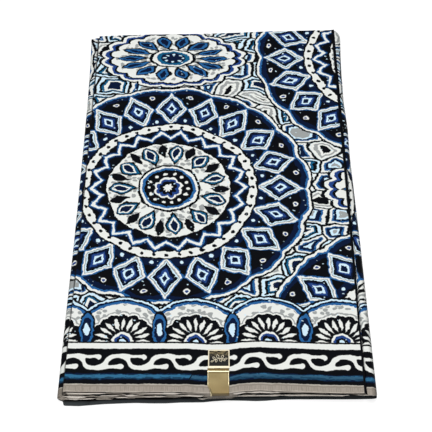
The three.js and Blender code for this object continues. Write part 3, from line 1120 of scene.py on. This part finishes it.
def thick_sheet(name, points, cloth, thickness):
    """A closed sheet of this thickness on a grid of points, with the cloth's measure."""
    height, width = len(points), len(points[0])
    above = []
    below = []
    for r in range(height):
        for c in range(width):
            across = points[r][min(c + 1, width - 1)] - points[r][max(c - 1, 0)]
            along = points[min(r + 1, height - 1)][c] - points[max(r - 1, 0)][c]
            out = across.cross(along).normalized() * (thickness / 2)
            above.append(points[r][c] - out)
            below.append(points[r][c] + out)
    faces = []
    under = len(above)
    for r in range(height - 1):
        for c in range(width - 1):
            a = r * width + c
            faces.append((a, a + width, a + width + 1, a + 1))
            faces.append((under + a, under + a + 1, under + a + width + 1, under + a + width))
    rim = list(range(width))
    rim += [r * width + width - 1 for r in range(1, height)]
    rim += [(height - 1) * width + c for c in range(width - 2, -1, -1)]
    rim += [r * width for r in range(height - 2, 0, -1)]
    for a, b in zip(rim, rim[1:] + rim[:1]):
        faces.append((a, b, under + b, under + a))
    mesh = bpy.data.meshes.new(name)
    mesh.from_pydata(above + below, [], faces)
    measure = mesh.uv_layers.new(name="cloth")
    for loop in mesh.loops:
        measure.data[loop.index].uv = cloth[loop.vertex_index % under]
    mesh.shade_smooth()
    return add_object(name, mesh)


def lengthwise(middle_rows):
    """Shares of the length, closer together near the front and the back."""
    near = [0.0, 0.002, 0.006, 0.012]
    return near + shares(0.02, 0.98, middle_rows) + [1 - share for share in reversed(near)]


def stations_on(kind, turn, places):
    """The points across one part of a turn, at these shares of it."""
    return [(kind, turn, place) for place in places]


near_free_edge = [0.0, 0.002, 0.005]
near_crease = [0.988, 0.993, 0.997, 0.999, 1.0]
past_fold = [0.001, 0.003, 0.007, 0.012, 0.025, 0.05, 0.08]
top_stretch = stations_on("top", 0, near_free_edge + shares(0.01, 0.98, 96) + near_crease)
top_stretch += stations_on("left fold", 0, shares(0.0, 1.0, 21)[1:])
top_stretch += stations_on("under", 0, past_fold)
cotton = make_cotton("wax_printed_cotton")
top_panel = build_ply_sheet("top_panel_cloth", [], top_stretch, lengthwise(90))
top_panel.data.materials.append(cotton)
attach(top_panel, "root")
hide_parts("outer_stretch")

# ---------------------------------------------------------------- the under panel
# The same stretch carried on: along the underside, where the whole bundle rests, up
# round the right-hand fold as the strip beside the free edge, and in under the top.

under_stretch = stations_on("under", 0, shares(past_fold[-1], 1.0, 100))
under_stretch += stations_on("right fold", 0, shares(0.0, 1.0, 16)[1:])
under_stretch += stations_on("top", 1, shares(0.0, 0.05, 24)[1:] + shares(0.06, 0.2, 8))
under_panel = build_ply_sheet("under_panel_cloth", top_stretch, under_stretch, lengthwise(60))
under_panel.data.materials.append(cotton)
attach(under_panel, "root")
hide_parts("right_turn")

# ---------------------------------------------------------------- the turns inside
# The rest of the length, rolled first: seven more turns of the doubled cloth. They
# show as the edges of their plies along the front and as their folds behind.

inside_stretch = stations_on("top", 1, shares(0.2, 1.0, 90))
for turn in range(1, PANELS // 2):
    if turn > 1:
        near_step = shares(0.0, 0.05, 20)[1:]
        inside_stretch += stations_on("top", turn, near_step + shares(0.06, 1.0, 105))
    inside_stretch += stations_on("left fold", turn, shares(0.0, 1.0, 11)[1:])
    inside_stretch += stations_on("under", turn, shares(0.0, 1.0, 115)[1:])
    if turn < PANELS // 2 - 1:
        inside_stretch += stations_on("right fold", turn, shares(0.0, 1.0, 9)[1:])
inside_rows = lengthwise(6)[:-4] + [1.0]  # their back ends hardly show
inside = build_ply_sheet(
    "inside_turns_cloth", top_stretch + under_stretch, inside_stretch, inside_rows, abreast=5
)
inside.data.materials.append(cotton)
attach(inside, "root")
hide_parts("folded_core")

# ---------------------------------------------------------------- the foil band
# A strip of embossed gold foil, folded over the front edge to keep the plies together.
# It is stuck down on top. Its left edge has come loose in front and curls inwards.

BAND_LEFT = -10.6
BAND_WIDTH = 23.8
BAND_BACK = 29.0  # y where it meets the plate
BAND_FOOT = 9.5  # height down to which it reaches in front
BAND_BEND = 0.9  # radius of its bend over the front edge
FOIL = 0.3  # thickness, and how far it lies off the cotton
CURL_FROM = 20.5  # length of band after which its left edge curls in
CURL_REACH = 3.6
SIDE_RIDGE = 0.65  # half the width of the ridge along each side
GROOVE, RIDGE, FINE_GROOVE = 1.4, 3.7, 5.3  # how far from the plate they cross the band
RIDGE_HIGH = 0.36
BAND_STEP = 0.35  # length of band from one row of points to the next, more or less


def cloth_top(x, y):
    """Height of the printed cotton under the label."""
    outer_face = STACK_HEIGHT - PITCH / 2 + PLY_APART + PLY_THICK / 2
    return settled(x, y, outer_face)


def embossed(offset, half_width, depth):
    """A rounded ridge, as foil takes it from the die."""
    return depth * max(0.0, 1 - (offset / half_width) ** 2)


def band_route():
    """The middle of the band from the plate to its foot: y, how far down it has come
    and how much it faces up, from 1 on top to 0 in front."""
    corners = (BAND_LEFT, BAND_LEFT + BAND_WIDTH)
    bend_from = min(ends_at(x, STACK_HEIGHT, "front") for x in corners) + 0.4
    route = [(y, 0.0, 1.0) for y in shares(BAND_BACK, bend_from, 90)]
    for degrees in range(9, 90, 9):
        angle = math.radians(degrees)
        down = BAND_BEND * (1 - math.cos(angle))
        route.append((bend_from - BAND_BEND * math.sin(angle), down, math.cos(angle)))
    for down in shares(BAND_BEND, STACK_HEIGHT - BAND_FOOT, 16):
        route.append((bend_from - BAND_BEND, down, 0.0))
    return route


def build_foil_band():
    """The band as the die left it: a ridge along each side as far as the curl, and behind
    a groove, a ridge and a finer groove across. run is the length of band so far."""
    columns = shares(0.0, 1.0, 110)
    points = []
    ridges = []
    shades = []
    run = 0.0
    last = None
    for y, down, faces_up in band_route():
        run += math.dist(last, (y, down)) if last else 0.0
        last = (y, down)
        faces_front = math.sqrt(1 - faces_up * faces_up)
        curl = smooth_step(run, CURL_FROM, CURL_FROM + 13.0)
        side_held = 1 - smooth_step(run, 17.0, 23.0)
        sunk = embossed(run - GROOVE, 1.4, 0.3) + embossed(run - FINE_GROOVE, 0.6, 0.15)
        cross_ridge = embossed(run - RIDGE, 1.0, 1.0)
        # painted shade in the groove and the finer groove
        dark = embossed(run - 1.6, 1.9, 1.0) + embossed(run - FINE_GROOVE, 0.7, 0.45)
        row = []
        for share in columns:
            x = BAND_LEFT + BAND_WIDTH * share + curl * CURL_REACH * (1 - share) ** 3
            from_side = min(share, 1 - share) * BAND_WIDTH
            side_ridge = embossed(from_side - SIDE_RIDGE, SIDE_RIDGE, 1.0) * side_held
            ridge = max(side_ridge * smooth_step(run, 2.4, 3.2), cross_ridge)
            dent = 0.12 * unevenness(x / 9, run / 11, 2.0)
            rolled = embossed(share * BAND_WIDTH, 2.4, 1.0) * curl
            lift = RIDGE_HIGH * ridge + dent + rolled - sunk
            z = cloth_top(x, y) + FOIL - down + faces_up * lift
            row.append(Vector(to_frame(x, y - faces_front * lift, z)))
            # painted highlight on the ridges and the curled edge
            ridges.append(max(ridge, rolled))
            # painted shade in the grooves; the foil also darkens towards the front and the right
            shades.append(dark + 0.35 * smooth_step(run, 8.0, 34.0) + 0.1 * share)
        points.append(row)
    measure = [
        (share * BAND_WIDTH / 1000, r * BAND_STEP / 1000)
        for r in range(len(points)) for share in columns
    ]
    band_sheet = thick_sheet("gold_foil_band", points, measure, FOIL / 1000)
    mark_points(band_sheet, ridge=ridges, shade=shades)
    return band_sheet


def mottle(tree, scale, detail=2.0):
    """Uneven patches in the foil, this many to a metre."""
    place = add_node(tree, "ShaderNodeTexCoord").outputs["Object"]
    sockets = {"Vector": place, "Scale": scale, "Detail": detail}
    return Field(tree, add_node(tree, "ShaderNodeTexNoise", None, sockets).outputs[0])


def make_foil():
    """Satin gold foil, with a painted highlight where the die raised it and on the curl, and
    painted shade in its dips; it darkens towards the front and the right.
    """
    foil, tree, shader = new_material("satin_gold_foil")
    ridge, shade = mark_of(tree, "ridge"), mark_of(tree, "shade")
    patch = mottle(tree, 90.0)
    body = mixed(tree, ((patch - 0.35) * 2.4).clipped(), dye(99, 87, 58), dye(115, 103, 71))
    # painted shade in the dips, then a painted highlight on the ridges and the curl
    dipped = mixed(tree, shade.clipped(), body, dye(78, 60, 28))
    bright = mixed(tree, (ridge * 1.3).clipped(), dipped, dye(214, 200, 160))
    sockets = {"Strength": 0.25, "Distance": 0.00004, "Height": mottle(tree, 1400.0)}
    bump = add_node(tree, "ShaderNodeBump", None, sockets)
    fill_sockets(tree, shader, {
        "Base Color": bright,
        "Metallic": 0.8,
        "Roughness": 0.34 + patch * 0.16 - ridge * 0.1,
        "Normal": bump.outputs[0],
    })
    return foil


foil_band = build_foil_band()
foil_band.data.materials.append(make_foil())
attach(foil_band, "root")
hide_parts("label_band")

# ---------------------------------------------------------------- the label plate
# A small embossed plate of the same foil behind the band, lacquered black inside its
# frame. Its plain ornament is a leafy sprig on a bowed stem.

PLATE_LEFT = BAND_LEFT + 0.7
PLATE_WIDTH = 23.7
PLATE_FRONT = BAND_BACK + 0.2
PLATE_BACK = 53.2
PLATE_LIFT = 0.35  # how far it lies off the cotton
RELIEF = 0.35  # how far the die raised its frame and sprig

# The sprig's leaves: where each starts from the stem, from -1 to 1 along it, which way
# it points in degrees from the x axis, and its length.
SPRIG = with_columns(
    "at way long",
    (-0.95, 205, 3.4),
    (-0.62, 128, 4.6),
    (-0.40, 262, 4.2),
    (-0.08, 104, 5.6),
    (0.14, 292, 4.8),
    (0.46, 66, 5.0),
    (0.60, 318, 4.4),
    (0.98, 22, 3.6),
)
STEM_HALF = 6.2  # half the stem's width across the plate
STEM_BOW = 2.2  # how far the stem's middle stands above its ends


def stem_height(x):
    return STEM_BOW * (0.5 - (x / STEM_HALF) ** 2) - 0.6 + x * 0.16


def leaf_outline(x, y, leaf):
    """How near a place is to the raised outline of a leaf, over 0 when it is on it."""
    start_x = leaf["at"] * STEM_HALF
    along, across = turned(x - start_x, y - stem_height(start_x), leaf["way"])
    share = along / leaf["long"]
    if not 0 < share < 1:
        return -1.0
    return 0.34 - abs(math.sin(math.pi * share) * leaf["long"] * 0.24 - abs(across))


def plate_relief(x, y, half_x, half_y):
    """How far the die has raised the plate at a place from its middle, 0 to 1: its
    frame, broadest in front, and the sprig."""
    frame = max(abs(x) - half_x + 1.3, y - half_y + 1.4, -half_y + 2.9 - y)
    stem = 0.3 - abs(y - stem_height(x)) if abs(x) < STEM_HALF else -1.0
    leaves = max(leaf_outline(x, y, leaf) for leaf in SPRIG)
    return clipped(max(frame, stem, leaves) * 3.0 + 0.1)


def build_label_plate():
    grid = shares(0.0, 1.0, 130)
    half_x, half_y = PLATE_WIDTH / 2, (PLATE_BACK - PLATE_FRONT) / 2
    points = []
    ridges = []
    shades = []
    for down in grid:
        y = PLATE_BACK + (PLATE_FRONT - PLATE_BACK) * down
        row = []
        for share in grid:
            x = PLATE_LEFT + PLATE_WIDTH * share
            off_x, off_y = (share - 0.5) * PLATE_WIDTH, (0.5 - down) * half_y * 2
            relief = plate_relief(off_x, off_y, half_x, half_y)
            z = cloth_top(x, y) + PLATE_LIFT + relief * RELIEF
            row.append(Vector(to_frame(x, y, z)))
            ridges.append(relief)
            patchy = 1.5 * unevenness(x / 3, y / 3, 4.0)
            shades.append(smooth_step(off_y + patchy, 2.0, 8.0))
        points.append(row)
    measure = [(share * PLATE_WIDTH / 1000, down * half_y / 500) for down in grid for share in grid]
    plate = thick_sheet("label_plate_embossed", points, measure, FOIL / 1000)
    mark_points(plate, ridge=ridges, shade=shades)
    return plate


def make_plate_finish():
    """Black lacquer over gold foil, worn through to pale metal on what stands up and
    rubbed thin towards the back."""
    finish, tree, shader = new_material("lacquered_foil")
    ridge, shade = mark_of(tree, "ridge"), mark_of(tree, "shade")
    patch = mottle(tree, 420.0, 3.0)
    worn = ((ridge - 0.45 + (patch - 0.5) * 0.4) * 5).clipped()
    rubbed = (shade * ((patch - 0.38) * 4).clipped()).clipped()
    lacquer = mixed(tree, rubbed, dye(17, 16, 15), dye(122, 108, 76))
    fill_sockets(tree, shader, {
        "Base Color": mixed(tree, worn, lacquer, dye(206, 196, 172)),
        "Metallic": worn * 0.3,
        "Roughness": 0.5 - worn * 0.2 + patch * 0.1,
        "Specular IOR Level": 0.15,
    })
    return finish


label_plate = build_label_plate()
label_plate.data.materials.append(make_plate_finish())
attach(label_plate, "root")
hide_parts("label_plate")
